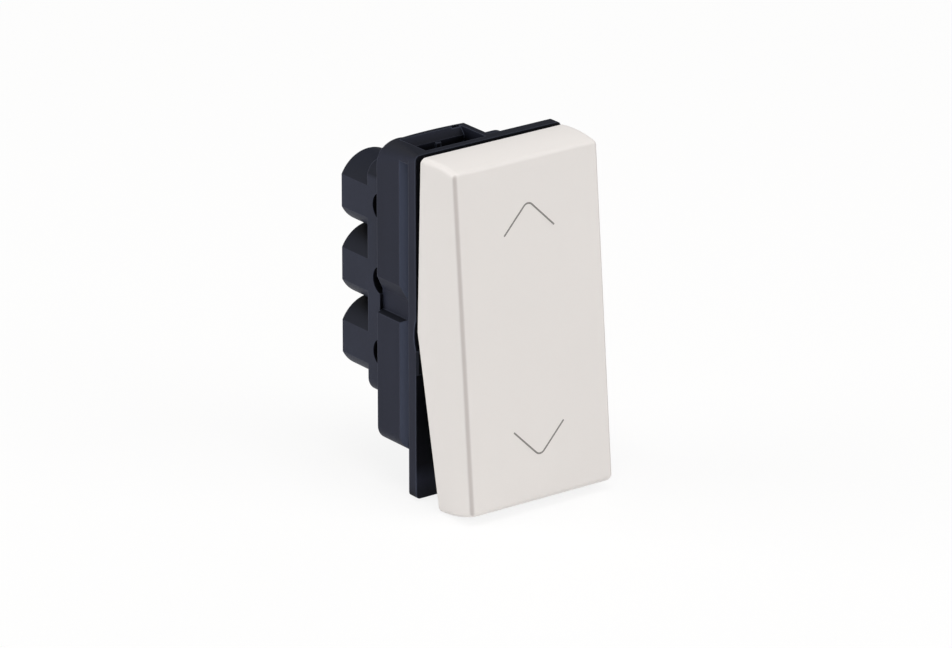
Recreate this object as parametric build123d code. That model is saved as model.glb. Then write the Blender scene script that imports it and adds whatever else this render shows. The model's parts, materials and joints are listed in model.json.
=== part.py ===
from build123d import *
from math import cos, sin, radians, tan
import os

# One-module rocker switch with an up and a down position, for blinds or shutters.
# Millimetres. +X is right seen from the front, +Y goes back into the wall, +Z is up.
# The origin is the centre of the flange's back face, which seats on the support frame.
# The rocker stands with its top pressed in, which is the rest pose of every joint.

# Flange, the front plate that covers the opening in the support frame
FLANGE_WIDTH = 22.3
FLANGE_HEIGHT = 45.0
FLANGE_THICKNESS = 1.5
FLANGE_CORNER = 0.6
FLANGE_TOP = FLANGE_HEIGHT / 2

# Housing behind the flange
HOUSING_DEPTH = 6.6
HOUSING_INSET = 0.05
HOUSING_CORNER = 2.0
WALL = 1.0
FLANGE_FOOT = 5.3
HEAD_STEP = 3.5
HEAD_CORNER_FRONT = 0.7
HEAD_CORNER_BACK = 3.5
HOUSING_HALF_WIDTH = FLANGE_WIDTH / 2 - HOUSING_INSET
HOUSING_TOP = FLANGE_TOP - HEAD_STEP
HOUSING_BOTTOM = -FLANGE_TOP + FLANGE_FOOT

# Groove at each side where the frame's edge snaps in, with a sloped back wall, and the blocks
GROOVE_WIDTH = 1.2
GROOVE_DEPTH = 0.85
GROOVE_SLOPE = 0.7
GROOVE_END = 1.5
UPPER_BLOCK_FOOT = 4.65
UPPER_BLOCK_SLOPE = 1.85
LOWER_BLOCK_TOP = 0.2
LOWER_BLOCK_SLOPE = 0.35
NECK_HALF_WIDTH = HOUSING_HALF_WIDTH - GROOVE_DEPTH
INSIDE_HALF_WIDTH = NECK_HALF_WIDTH - WALL

# Scallop and lug on the flange's front edge, at each side
SCALLOP_TOP = 1.2
SCALLOP_DEPTH = 0.4
SCALLOP_WIDTH = 2.5
LUG_TOP = -2.95
LUG_FOOT = -6.05
LUG_WIDTH = 1.2
LUG_HEIGHT = 0.22

# Lamp pocket, open at the top of the raised head on the left
HEAD_RIGHT = 0.052 * FLANGE_WIDTH
POCKET_SIDE_MARGIN = 2.3
POCKET_RIGHT_WALL = 0.85
POCKET_LEFT = -FLANGE_WIDTH / 2 + POCKET_SIDE_MARGIN
POCKET_RIGHT = HEAD_RIGHT - POCKET_RIGHT_WALL
POCKET_FRONT = -0.55
POCKET_HEIGHT = 8.5
POCKET_FLOOR = FLANGE_TOP - POCKET_HEIGHT
POCKET_BACK_WALL = 0.6
POCKET_BACK_CLEARANCE = 0.35
POCKET_BACK = HOUSING_DEPTH - 0.9 - POCKET_BACK_CLEARANCE
POCKET_DEPTH = POCKET_BACK - POCKET_BACK_WALL
HEAD_BACK_LEFT = POCKET_BACK - 0.1
HEAD_BACK_RIGHT = POCKET_BACK - 0.3
HEAD_BACK_BULGE = 0.3
HEAD_FLANK = 0.5
HEAD_SHOULDER = 2.5
HEAD_FLANK_X = -HOUSING_HALF_WIDTH + HEAD_FLANK
HEAD_SHOULDER_X = HEAD_FLANK_X + HEAD_SHOULDER
RAMP_RUN = 0.85
RAMP_DROP = 1.0
RAMP_FRONT = POCKET_DEPTH - RAMP_RUN
POCKET_RIB_X = -0.168 * FLANGE_WIDTH
POCKET_RIB_WIDTH = 0.8
POCKET_RIB_DEPTH = 0.2
POCKET_RIB_DROP = 1.2
POCKET_SLOT_X = POCKET_RIGHT - 0.7
POCKET_SLOT_WIDTH = 1.2
POCKET_SLOT_DEPTH = 0.45
POCKET_SLOT_HEIGHT = 1.2

# Rocker cap, measured from the hinge axis; it covers the flange at rest
HINGE_Y = -3.2
HINGE_Z = -0.23
ROCKER_SWING = 4.75
CAP_WIDTH = FLANGE_WIDTH
CAP_HEIGHT = FLANGE_HEIGHT + 0.4
CAP_SIDE_DRAFT = 0.15
CAP_END_DRAFT = 0.85
CAP_FACE_REACH = 7.84
CAP_CREASE_REACH = 1.27
CAP_GAP = 0.17
CAP_WALL = 1.2
CAP_FACE_WALL = 1.4
CAP_CHEEK_INSET = 0.15
CAP_END_BULGE = 0.3
CAP_FACE_EDGE = 0.65
CAP_SIDE_EDGE = 0.8
CAP_FACE_WIDTH = CAP_WIDTH - 2 * CAP_SIDE_DRAFT
CAP_FACE_HEIGHT = CAP_HEIGHT - 2 * CAP_END_DRAFT
CAP_APEX = -FLANGE_THICKNESS - CAP_GAP - HINGE_Y
CAP_CREASE = -CAP_CREASE_REACH
CAP_INNER_FACE = -CAP_FACE_REACH + CAP_FACE_WALL

# Rocker carrier, which turns on two trunnions between ears on the flange
TRUNNION_RADIUS = 1.0
RUNNING_CLEARANCE = 0.05
SIDE_CLEARANCE = 0.3
EAR_THICKNESS = 1.1
EAR_WALL = 1.0
EAR_SPREAD = 0.6
EAR_MARGIN = 1.75
EAR_OUTER_X = FLANGE_WIDTH / 2 - EAR_MARGIN
CARRIER_HALF_HEIGHT = 0.29 * FLANGE_HEIGHT
CARRIER_HALF_WIDTH = EAR_OUTER_X - EAR_THICKNESS - SIDE_CLEARANCE
CARRIER_PLATE = 1.6
CARRIER_SEAT = 1.4
CARRIER_RIM = 1.0
CARRIER_CHEEK_WALL = 0.4
CARRIER_CHEEK_SPREAD = 1.2
CARRIER_FRONT = CAP_INNER_FACE + CARRIER_SEAT
CARRIER_BACK = CARRIER_FRONT + CARRIER_PLATE
WINDOW_WIDTH = 7.0
WINDOW_HEIGHT = 4.4
WINDOW_MARGIN = 4.0
WINDOW_Z = CARRIER_HALF_HEIGHT - WINDOW_MARGIN
CLIP_THICKNESS = 1.2
CLIP_WIDTH = 5.0
CLIP_BARB = 0.6
CLIP_TIP = 0.9
CLIP_CLEARANCE = 0.05
CLIP_ROOT = 0.2
CAP_RIB_WIDTH = 1.0
CAP_RIB_X = CARRIER_HALF_WIDTH - 2.0
CAP_RIB_START = 2.0
STOP_Z = CARRIER_HALF_HEIGHT - 1.0
STOP_HEIGHT = 3.0
STOP_WIDTH = 2.0
STOP_CLEARANCE = 0.07

# Plunger and its spring, inside the hub on the carrier
MECHANISM_X = 0.18 * FLANGE_WIDTH
HUB_RADIUS = 2.2
HUB_REACH = 4.6
HUB_FLOOR = 0.4
HUB_WINDOW_SIDE = 0.6
HUB_WINDOW_END = 1.4
PLUNGER_RADIUS = 1.3
PLUNGER_WALL = 0.35
PLUNGER_TAIL = 0.6
PLUNGER_NECK = 1.2
PLUNGER_TIP_RADIUS = 0.9
PLUNGER_CUP_DEPTH = 4.0
PLUNGER_GAP = 0.03
SPRING_RADIUS = 0.68
SPRING_WIRE = 0.15
SPRING_TURNS = 6

# Rocking contact lever on its fulcrum
LEVER_SWING = 7.0
LEVER_AXIS_Y = HOUSING_DEPTH - 0.9
LEVER_ARM = 0.155 * FLANGE_HEIGHT
LEVER_THICKNESS = 0.8
LEVER_BACK = 0.05
LEVER_WIDTH = 3.8
LEVER_OVERHANG = 1.6
LEVER_CORNER = 0.8
FULCRUM_RADIUS = 0.35
CONTACT_RADIUS = 1.1
CONTACT_CROWN = 0.45
CONTACT_DOME_RADIUS = 4.0
CONTACT_SHANK_RADIUS = 0.55
CONTACT_CLOSED_GAP = 0.02
FIXED_CONTACT_MARGIN = 0.1
STRIP_THICKNESS = 0.7
STRIP_WIDTH = 3.0
PAD_HALF_HEIGHT = 1.7
PLUNGER_TIP = LEVER_AXIS_Y + LEVER_BACK - LEVER_THICKNESS - HINGE_Y - PLUNGER_GAP

# Terminals, one above the other on the left, with their screws just inside the wall
TERMINAL_PITCH = 0.2133 * FLANGE_HEIGHT
TERMINAL_MIDDLE_Z = 0.088 * FLANGE_HEIGHT
TERMINAL_NAMES = ["upper", "middle", "lower"]
TERMINAL_Z = [TERMINAL_MIDDLE_Z + step * TERMINAL_PITCH for step in (1, 0, -1)]
WIRE_RADIUS = 1.3
SCREW_RADIUS = 1.15
SCREW_HEAD_RADIUS = 1.4
SCREW_HEAD_HEIGHT = 0.75
SCREW_HEAD_CLEARANCE = 0.15
SCREW_WALL_CLEARANCE = 0.25
SCREW_TRAVEL = 0.8
SCREW_TRAVEL_SPARE = 0.05
SCREW_TIP_CLEARANCE = 0.1
SCREW_SLOT_WIDTH = 0.5
SCREW_SLOT_DEPTH = 0.5
SCREW_AXIS_Y = HOUSING_DEPTH + 0.6
SCREW_HEAD_LEFT = -INSIDE_HALF_WIDTH + SCREW_WALL_CLEARANCE
SCREW_HEAD_RIGHT = SCREW_HEAD_LEFT + SCREW_HEAD_HEIGHT
ACCESS_RADIUS = 1.85
ACCESS_Y = HOUSING_DEPTH - 0.4
BLOCK_WIDTH = 4.4
BLOCK_HEIGHT = 0.54 * TERMINAL_PITCH
BLOCK_DEPTH = 3.2
BLOCK_EDGE = 0.5
BLOCK_CLEARANCE = 0.05
BLOCK_LEFT = SCREW_HEAD_RIGHT + SCREW_TRAVEL + SCREW_TRAVEL_SPARE
BLOCK_RIGHT = BLOCK_LEFT + BLOCK_WIDTH
TERMINAL_X = BLOCK_LEFT + BLOCK_WIDTH / 2

# Terminal base, the rear layer with a barrel boss behind each terminal
BASE_DEPTH = 2.5
BASE_INSET = 0.4
BASE_MARGIN_TOP = 0.65
BASE_MARGIN_BOTTOM = 1.25
BASE_CORNER = 2.0
BASE_FLOOR = 0.95
BASE_RIM = 1.4
BASE_HALF_WIDTH = HOUSING_HALF_WIDTH - BASE_INSET
BOSS_RADIUS = 0.49 * TERMINAL_PITCH
BOSS_FLAT = 4.2
BOSS_X = -BASE_HALF_WIDTH + BOSS_FLAT
BOSS_LENGTH = 5.95
BOSS_EDGE = 0.5
PANEL_WIDTH = 7.5
PANEL_MARGIN = 2.0
PANEL_CORNER = 1.0
PANEL_DEPTH = 0.3
ENTRY_RADIUS = 1.5
ENTRY_MOUTH_RADIUS = 2.3
ENTRY_MOUTH_DEPTH = 0.8
TRAY_STEP = 0.5
PEG_RADIUS = 0.55
PEG_LENGTH = 3.0
PEG_END_CLEARANCE = 0.3
PEG_POST_RADIUS = 1.0
PEG_EDGE = 0.15
PEG_RIGHT_MARGIN = 2.7
PEG_LEFT_MARGIN = 2.0
PEG_RIGHT = BASE_HALF_WIDTH - PEG_RIGHT_MARGIN
PEG_LEFT = -BASE_HALF_WIDTH + PEG_LEFT_MARGIN
PEG_CLEARANCE = 0.05
BASE_TOP = TERMINAL_Z[0] + BOSS_RADIUS + BASE_MARGIN_TOP
BASE_BOTTOM = TERMINAL_Z[2] - BOSS_RADIUS - BASE_MARGIN_BOTTOM
BASE_BACK = HOUSING_DEPTH + BASE_DEPTH
BASE_FLOOR_Y = BASE_BACK - BASE_FLOOR
BLOCK_BACK = BASE_BACK - 0.2
BLOCK_FRONT = BLOCK_BACK - BLOCK_DEPTH
STRIP_FRONT = BASE_FLOOR_Y - STRIP_THICKNESS

# Cutting tools run this far past what they cut
PAST = 1.0
# Pieces of one solid sink this far into each other
WELD = 0.1


def box_between(x0, x1, y0, y1, z0, z1):
    """Box between two opposite corners."""
    centre = Pos((x0 + x1) / 2, (y0 + y1) / 2, (z0 + z1) / 2)
    return centre * Box(x1 - x0, y1 - y0, z1 - z0)


def front_plate(outline, y0, y1):
    """Front-view outline, X across and Z up, thickened from y0 back to y1."""
    return extrude(Plane.XZ.offset(-y1) * outline, y1 - y0)


def side_plate(outline, x0, x1):
    """Side-view outline, Y back and Z up, thickened from x0 to x1."""
    return extrude(Plane.YZ.offset(x0) * outline, x1 - x0)


def plan_plate(outline, z0, z1):
    """Plan-view outline, X across and Y back, thickened from z0 up to z1."""
    return extrude(Plane.XY.offset(z0) * outline, z1 - z0)


def rod_x(radius, x0, x1, y, z):
    """Cylinder along X."""
    return Pos((x0 + x1) / 2, y, z) * Rot(0, 90, 0) * Cylinder(radius, x1 - x0)


def rod_y(radius, y0, y1, x, z):
    """Cylinder along Y."""
    return Pos(x, (y0 + y1) / 2, z) * Rot(90, 0, 0) * Cylinder(radius, y1 - y0)


def polygon(points):
    """Face inside a closed run of straight edges."""
    return make_face(Polyline(*points, close=True))


def rounded(outline, corners, radius):
    """Round the named corners of a flat outline."""
    picked = []
    for corner in corners:
        picked.append(outline.vertices().sort_by_distance(Vector(*corner))[0])
    return fillet(picked, radius)


def edges_along(shape, axis):
    """Straight edges that run along an axis."""
    return shape.edges().filter_by(axis)


def on_rocker(shape):
    """Turn a piece drawn about the hinge, with the rocker level, into its rest pose."""
    return Pos(0, HINGE_Y, HINGE_Z) * Rot(-ROCKER_SWING, 0, 0) * shape


def on_lever(shape):
    """Turn a piece drawn about the fulcrum, with the lever level, into its rest pose."""
    return Pos(MECHANISM_X, LEVER_AXIS_Y, HINGE_Z) * Rot(LEVER_SWING, 0, 0) * shape


# Housing: flange, body, side blocks, lamp pocket, ears, stops and screw holes
def body_outline(half_width, corner):
    """Front view of the body: a rectangle with the head raised at the left."""
    points = [
        (-half_width, HOUSING_BOTTOM),
        (half_width, HOUSING_BOTTOM),
        (half_width, HOUSING_TOP),
        (HEAD_RIGHT, HOUSING_TOP),
        (HEAD_RIGHT, FLANGE_TOP),
        (-half_width, FLANGE_TOP),
    ]
    outline = polygon(points)
    return rounded(outline, points[:3], corner)


def corner_space(y, edge, radius):
    """Space outside the head's rounded corner, in one plane across Y."""
    top = FLANGE_TOP
    lift = radius * (1 - cos(radians(45)))
    arc = ThreePointArc((edge, top - radius), (edge + lift, top - lift), (edge + radius, top))
    rest = Polyline((edge + radius, top), (edge + radius, top + PAST), (edge - PAST, top + PAST),
                    (edge - PAST, top - radius), (edge, top - radius))
    return Plane.XZ.offset(-y) * make_face([arc, *rest.edges()])


def head_corner_cut():
    """Cut for the head's left corner, nearly square in front and round at the back."""
    depth = HOUSING_DEPTH + FLANGE_THICKNESS
    widening = (HEAD_CORNER_BACK - HEAD_CORNER_FRONT) / depth * PAST
    front = corner_space(-FLANGE_THICKNESS - PAST, -FLANGE_WIDTH / 2,
                         HEAD_CORNER_FRONT - widening)
    back = corner_space(HOUSING_DEPTH + PAST, -HOUSING_HALF_WIDTH, HEAD_CORNER_BACK + widening)
    return loft([front, back], ruled=True)


def side_recess(side):
    """Front view of the gap between the upper and the lower block of one side."""
    inner = side * NECK_HALF_WIDTH
    edge = side * HOUSING_HALF_WIDTH
    outer = side * (HOUSING_HALF_WIDTH + PAST)
    return polygon([
        (outer, UPPER_BLOCK_FOOT),
        (edge, UPPER_BLOCK_FOOT),
        (inner, UPPER_BLOCK_FOOT - UPPER_BLOCK_SLOPE),
        (inner, LOWER_BLOCK_TOP),
        (edge, LOWER_BLOCK_TOP - LOWER_BLOCK_SLOPE),
        (outer, LOWER_BLOCK_TOP - LOWER_BLOCK_SLOPE),
    ])


def groove_slope(side):
    """Plan view of what the sloped back wall of the groove takes off the block."""
    inner = side * NECK_HALF_WIDTH
    edge = side * HOUSING_HALF_WIDTH
    outer = side * (HOUSING_HALF_WIDTH + PAST)
    slope_end = GROOVE_WIDTH + GROOVE_SLOPE
    return polygon([(outer, GROOVE_WIDTH), (inner, GROOVE_WIDTH), (edge, slope_end),
                    (outer, slope_end)])


def head_back_cut():
    """Plan view of what the arched back of the head leaves free."""
    left = HEAD_SHOULDER_X
    right = HEAD_RIGHT + PAST
    middle = (left + right) / 2
    middle_y = (HEAD_BACK_LEFT + HEAD_BACK_RIGHT) / 2 + HEAD_BACK_BULGE
    arch = ThreePointArc((left, HEAD_BACK_LEFT), (middle, middle_y), (right, HEAD_BACK_RIGHT))
    back = HOUSING_DEPTH + PAST
    rest = Polyline((right, HEAD_BACK_RIGHT), (right, back), (HEAD_FLANK_X, back),
                    (HEAD_FLANK_X, HOUSING_DEPTH), (left, HEAD_BACK_LEFT))
    return make_face([arch, *rest.edges()])


def peg_places():
    """Where the base's pegs go into posts of the housing."""
    low = BASE_BOTTOM + PEG_POST_RADIUS + PEG_EDGE
    high = BASE_TOP - BASE_RIM - PEG_POST_RADIUS + PEG_EDGE
    return [(PEG_RIGHT, low), (PEG_RIGHT, high), (PEG_LEFT, low)]


def trunnion_ear(side):
    """Ear on the flange that carries one trunnion."""
    radius = TRUNNION_RADIUS + EAR_WALL
    foot = radius + EAR_SPREAD
    outline = polygon([(-FLANGE_THICKNESS, HINGE_Z - foot), (-FLANGE_THICKNESS, HINGE_Z + foot),
                       (HINGE_Y, HINGE_Z + radius), (HINGE_Y, HINGE_Z - radius)])
    outline += Pos(HINGE_Y, HINGE_Z) * Circle(radius)
    outline -= Pos(HINGE_Y, HINGE_Z) * Circle(TRUNNION_RADIUS + RUNNING_CLEARANCE)
    x = side * (EAR_OUTER_X - EAR_THICKNESS / 2)
    return side_plate(outline, x - EAR_THICKNESS / 2, x + EAR_THICKNESS / 2)


def stop_pad(end):
    """Pad on the flange that the carrier's rim lands on at the end of its swing."""
    rim_back = CARRIER_BACK + CARRIER_RIM
    swing = radians(ROCKER_SWING)
    land_y = HINGE_Y + rim_back * cos(swing) + STOP_Z * sin(swing) + STOP_CLEARANCE
    slope = tan(swing)
    half = STOP_HEIGHT / 2
    middle_z = HINGE_Z + end * STOP_Z
    outline = polygon([
        (-FLANGE_THICKNESS, middle_z - half),
        (-FLANGE_THICKNESS, middle_z + half),
        (land_y + end * slope * half, middle_z + half),
        (land_y - end * slope * half, middle_z - half),
    ])
    pad = None
    for side in (-1, 1):
        x = side * (CARRIER_HALF_WIDTH - CARRIER_RIM / 2)
        piece = side_plate(outline, x - STOP_WIDTH / 2, x + STOP_WIDTH / 2)
        pad = piece if pad is None else pad + piece
    return pad


def edge_lug(side):
    """Lug on the flange's front edge, just below the scallop."""
    outer = side * (FLANGE_WIDTH / 2)
    inner = side * (FLANGE_WIDTH / 2 - LUG_WIDTH)
    reach = FLANGE_THICKNESS + LUG_HEIGHT
    outline = polygon([(outer, -FLANGE_THICKNESS), (outer - side * LUG_HEIGHT, -reach),
                       (inner, -reach), (inner, -FLANGE_THICKNESS)])
    return plan_plate(outline, LUG_FOOT, LUG_TOP)


def edge_scallop(side):
    """Shallow finger of space in the flange's front edge, for prising the cap off."""
    half = (SCALLOP_TOP - LUG_TOP) / 2
    middle = (SCALLOP_TOP + LUG_TOP) / 2
    front = -FLANGE_THICKNESS
    arc = ThreePointArc((front, middle - half), (front + SCALLOP_DEPTH, middle),
                        (front, middle + half))
    face = make_face([arc, Line((front, middle + half), (front, middle - half))])
    inner, outer = sorted((side * (FLANGE_WIDTH / 2 - SCALLOP_WIDTH),
                           side * (FLANGE_WIDTH / 2 + PAST)))
    return side_plate(face, inner, outer)


def make_housing():
    flange = front_plate(RectangleRounded(FLANGE_WIDTH, FLANGE_HEIGHT, FLANGE_CORNER),
                         -FLANGE_THICKNESS, 0)
    neck = front_plate(body_outline(NECK_HALF_WIDTH, HOUSING_CORNER), 0, GROOVE_WIDTH)
    body = front_plate(body_outline(HOUSING_HALF_WIDTH, HOUSING_CORNER),
                       GROOVE_WIDTH, HOUSING_DEPTH)
    housing = flange + neck + body
    for side in (-1, 1):
        housing -= front_plate(side_recess(side), GROOVE_WIDTH, HOUSING_DEPTH)
        housing -= plan_plate(groove_slope(side), HOUSING_BOTTOM - PAST, FLANGE_TOP + PAST)

    # The left groove stops short of the head's top, where the corner is rounded
    housing += box_between(-HOUSING_HALF_WIDTH, HEAD_RIGHT, 0, GROOVE_WIDTH + GROOVE_SLOPE,
                           FLANGE_TOP - GROOVE_END, FLANGE_TOP)
    housing -= head_corner_cut()

    # Hollow body, open at the back
    housing -= box_between(-INSIDE_HALF_WIDTH, INSIDE_HALF_WIDTH, 0, HOUSING_DEPTH + PAST,
                           HOUSING_BOTTOM + WALL, HOUSING_TOP - WALL)

    # Lamp pocket with its own floor and walls
    housing += box_between(-INSIDE_HALF_WIDTH, HEAD_RIGHT, 0, POCKET_BACK,
                           POCKET_FLOOR - WALL, FLANGE_TOP - HEAD_STEP)
    housing -= plan_plate(head_back_cut(), BASE_TOP, FLANGE_TOP + PAST)
    housing -= box_between(POCKET_LEFT, POCKET_RIGHT, POCKET_FRONT, POCKET_DEPTH,
                           POCKET_FLOOR, FLANGE_TOP + PAST)
    ramp = polygon([(POCKET_DEPTH + WELD, FLANGE_TOP), (POCKET_DEPTH, FLANGE_TOP),
                    (RAMP_FRONT, FLANGE_TOP - RAMP_DROP), (RAMP_FRONT, POCKET_FLOOR),
                    (POCKET_DEPTH + WELD, POCKET_FLOOR)])
    housing += side_plate(ramp, POCKET_LEFT, POCKET_RIGHT)
    housing += box_between(POCKET_RIB_X - POCKET_RIB_WIDTH / 2, POCKET_RIB_X + POCKET_RIB_WIDTH / 2,
                           RAMP_FRONT - POCKET_RIB_DEPTH, POCKET_DEPTH,
                           POCKET_FLOOR, FLANGE_TOP - POCKET_RIB_DROP)
    housing -= box_between(POCKET_SLOT_X - POCKET_SLOT_WIDTH / 2,
                           POCKET_SLOT_X + POCKET_SLOT_WIDTH / 2,
                           POCKET_DEPTH - WELD, POCKET_DEPTH + POCKET_SLOT_DEPTH,
                           FLANGE_TOP - POCKET_SLOT_HEIGHT, FLANGE_TOP + PAST)

    # Posts for the base's pegs
    for x, z in peg_places():
        housing += rod_y(PEG_POST_RADIUS, 0, HOUSING_DEPTH, x, z)
        housing -= rod_y(PEG_RADIUS + PEG_CLEARANCE,
                         HOUSING_DEPTH - PEG_LENGTH - PEG_END_CLEARANCE, HOUSING_DEPTH, x, z)

    # Window for the carrier's hub
    half_width = HUB_RADIUS + HUB_WINDOW_SIDE
    half_height = HUB_RADIUS + HUB_WINDOW_END
    housing -= box_between(MECHANISM_X - half_width, MECHANISM_X + half_width,
                           -FLANGE_THICKNESS - PAST, PAST,
                           HINGE_Z - half_height, HINGE_Z + half_height)

    for side in (-1, 1):
        housing += trunnion_ear(side)
        housing += edge_lug(side)
        housing -= edge_scallop(side)
    for end in (-1, 1):
        housing += stop_pad(end)
    return housing


# Rocker cap: a drafted shell with a flat face and V-shaped cheeks behind the crease
def cap_side_view(inset):
    """Side view about the hinge, in front of the crease, with every wall moved in."""
    half = CAP_HEIGHT / 2 - inset
    face_half = CAP_FACE_HEIGHT / 2 - inset
    face = -CAP_FACE_REACH if inset == 0 else CAP_INNER_FACE
    middle_y = (face + CAP_CREASE) / 2
    middle_z = (half + face_half) / 2 + CAP_END_BULGE
    top = ThreePointArc((CAP_CREASE, half), (middle_y, middle_z), (face, face_half))
    front = Line((face, face_half), (face, -face_half))
    bottom = ThreePointArc((face, -face_half), (middle_y, -middle_z), (CAP_CREASE, -half))
    back = Line((CAP_CREASE, -half), (CAP_CREASE, half))
    return make_face([top, front, bottom, back])


def cap_plan_view(inset):
    """Plan view about the hinge, in front of the crease."""
    half = CAP_WIDTH / 2 - inset
    face_half = CAP_FACE_WIDTH / 2 - inset
    face = -CAP_FACE_REACH if inset == 0 else CAP_INNER_FACE
    return polygon([(-face_half, face), (face_half, face), (half, CAP_CREASE),
                    (-half, CAP_CREASE)])


def cap_form(inset):
    """Solid inside both views, from the face back to the crease."""
    side = side_plate(cap_side_view(inset), -CAP_WIDTH, CAP_WIDTH)
    plan = plan_plate(cap_plan_view(inset), -CAP_HEIGHT, CAP_HEIGHT)
    return side & plan


def cap_cheeks(crease_face):
    """Blunt V behind the crease, drawn in a little at the sides."""
    half = CAP_HEIGHT / 2
    edge = CAP_WIDTH / 2
    cheek = edge - CAP_CHEEK_INSET
    side = side_plate(polygon([(CAP_CREASE, -half), (CAP_APEX, 0), (CAP_CREASE, half)]),
                      -CAP_WIDTH, CAP_WIDTH)
    plan = plan_plate(polygon([(-edge, CAP_CREASE), (-cheek, CAP_APEX), (cheek, CAP_APEX),
                               (edge, CAP_CREASE)]), -half, half)
    return extrude(crease_face, CAP_APEX - CAP_CREASE) & side & plan


def clip_outline(end):
    """Side view of a clip leg with a barb that holds the carrier's plate."""
    inner = CARRIER_HALF_HEIGHT + CLIP_CLEARANCE
    outer = inner + CLIP_THICKNESS
    root = CAP_INNER_FACE - CLIP_ROOT
    catch = CARRIER_BACK + CLIP_CLEARANCE
    tip = catch + CLIP_TIP
    points = [(root, outer), (tip, outer), (tip, inner), (catch, inner - CLIP_BARB),
              (catch, inner), (root, inner)]
    return polygon([(y, end * z) for y, z in points])


def make_rocker_cap():
    cap = cap_form(0)
    rims = cap.faces().sort_by(Axis.Y)[0].edges() + cap.faces().sort_by(Axis.Y)[-1].edges()
    cap = fillet(cap.edges() - rims, CAP_SIDE_EDGE)
    cap = fillet(cap.faces().sort_by(Axis.Y)[0].edges(), CAP_FACE_EDGE)
    cap += cap_cheeks(cap.faces().sort_by(Axis.Y)[-1])
    cap -= cap_form(CAP_WALL)
    cap -= box_between(-CAP_WIDTH / 2 + CAP_WALL, CAP_WIDTH / 2 - CAP_WALL,
                       CAP_CREASE, CAP_APEX + PAST,
                       -CAP_HEIGHT / 2 + CAP_WALL, CAP_HEIGHT / 2 - CAP_WALL)
    for end in (-1, 1):
        cap += side_plate(clip_outline(end), -CLIP_WIDTH / 2, CLIP_WIDTH / 2)
        for side in (-1, 1):
            x = side * CAP_RIB_X
            low, high = sorted((end * CAP_RIB_START, end * STOP_Z))
            cap += box_between(x - CAP_RIB_WIDTH / 2, x + CAP_RIB_WIDTH / 2,
                               CAP_INNER_FACE - CLIP_ROOT, CARRIER_FRONT, low, high)
    return on_rocker(cap)


def make_rocker_carrier():
    half = CARRIER_HALF_WIDTH
    plate = box_between(-half, half, CARRIER_FRONT, CARRIER_BACK + CARRIER_RIM,
                        -CARRIER_HALF_HEIGHT, CARRIER_HALF_HEIGHT)
    plate -= box_between(-half + CARRIER_RIM, half - CARRIER_RIM, CARRIER_BACK,
                         CARRIER_BACK + CARRIER_RIM + PAST,
                         -CARRIER_HALF_HEIGHT - PAST, CARRIER_HALF_HEIGHT + PAST)
    carrier = plate
    cheek_radius = TRUNNION_RADIUS + CARRIER_CHEEK_WALL
    cheek_foot = cheek_radius + CARRIER_CHEEK_SPREAD
    for side in (-1, 1):
        outline = polygon([(CARRIER_BACK, -cheek_foot), (0, -cheek_radius),
                           (0, cheek_radius), (CARRIER_BACK, cheek_foot)])
        outline += Circle(cheek_radius)
        inner, outer = sorted((side * (half - CARRIER_RIM), side * half))
        carrier += side_plate(outline, inner, outer)
        low, high = sorted((side * (half - WELD), side * (EAR_OUTER_X - RUNNING_CLEARANCE)))
        carrier += rod_x(TRUNNION_RADIUS, low, high, 0, 0)
    carrier += rod_y(HUB_RADIUS, CARRIER_BACK - WELD, HUB_REACH, MECHANISM_X, 0)
    carrier -= rod_y(PLUNGER_RADIUS + RUNNING_CLEARANCE, CARRIER_BACK + HUB_FLOOR,
                     HUB_REACH + PAST, MECHANISM_X, 0)
    for z in (-WINDOW_Z, WINDOW_Z):
        carrier -= box_between(-WINDOW_WIDTH / 2, WINDOW_WIDTH / 2,
                               CARRIER_FRONT - PAST, CARRIER_BACK + PAST,
                               z - WINDOW_HEIGHT / 2, z + WINDOW_HEIGHT / 2)
    return on_rocker(carrier)


# Plunger: a cup with a rounded nose that rides on the lever, and the spring inside it
def make_plunger():
    tip_centre = PLUNGER_TIP - PLUNGER_TIP_RADIUS
    shoulder = tip_centre - PLUNGER_NECK
    nose = ThreePointArc(
        (PLUNGER_TIP_RADIUS, tip_centre),
        (PLUNGER_TIP_RADIUS * cos(radians(45)), tip_centre + PLUNGER_TIP_RADIUS * sin(radians(45))),
        (0, PLUNGER_TIP),
    )
    cup_radius = PLUNGER_RADIUS - PLUNGER_WALL
    cup_floor = PLUNGER_TAIL + PLUNGER_CUP_DEPTH
    walls = Polyline((0, PLUNGER_TIP), (0, cup_floor), (cup_radius, cup_floor),
                     (cup_radius, PLUNGER_TAIL), (PLUNGER_RADIUS, PLUNGER_TAIL),
                     (PLUNGER_RADIUS, shoulder), (PLUNGER_TIP_RADIUS, tip_centre))
    section = make_face([nose, *walls.edges()])
    plunger = revolve(section, Axis.Y)
    return on_rocker(Pos(MECHANISM_X, 0, 0) * plunger)


def make_plunger_spring():
    start = CARRIER_BACK + HUB_FLOOR + SPRING_WIRE
    end = PLUNGER_TAIL + PLUNGER_CUP_DEPTH - SPRING_WIRE
    height = end - start
    path = Helix(height / SPRING_TURNS, height, SPRING_RADIUS)
    profile = Plane(path @ 0, z_dir=path % 0) * RegularPolygon(SPRING_WIRE, 6)
    coil = sweep(profile, path, is_frenet=True)
    return on_rocker(Pos(MECHANISM_X, start, 0) * Rot(-90, 0, 0) * coil)


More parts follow.
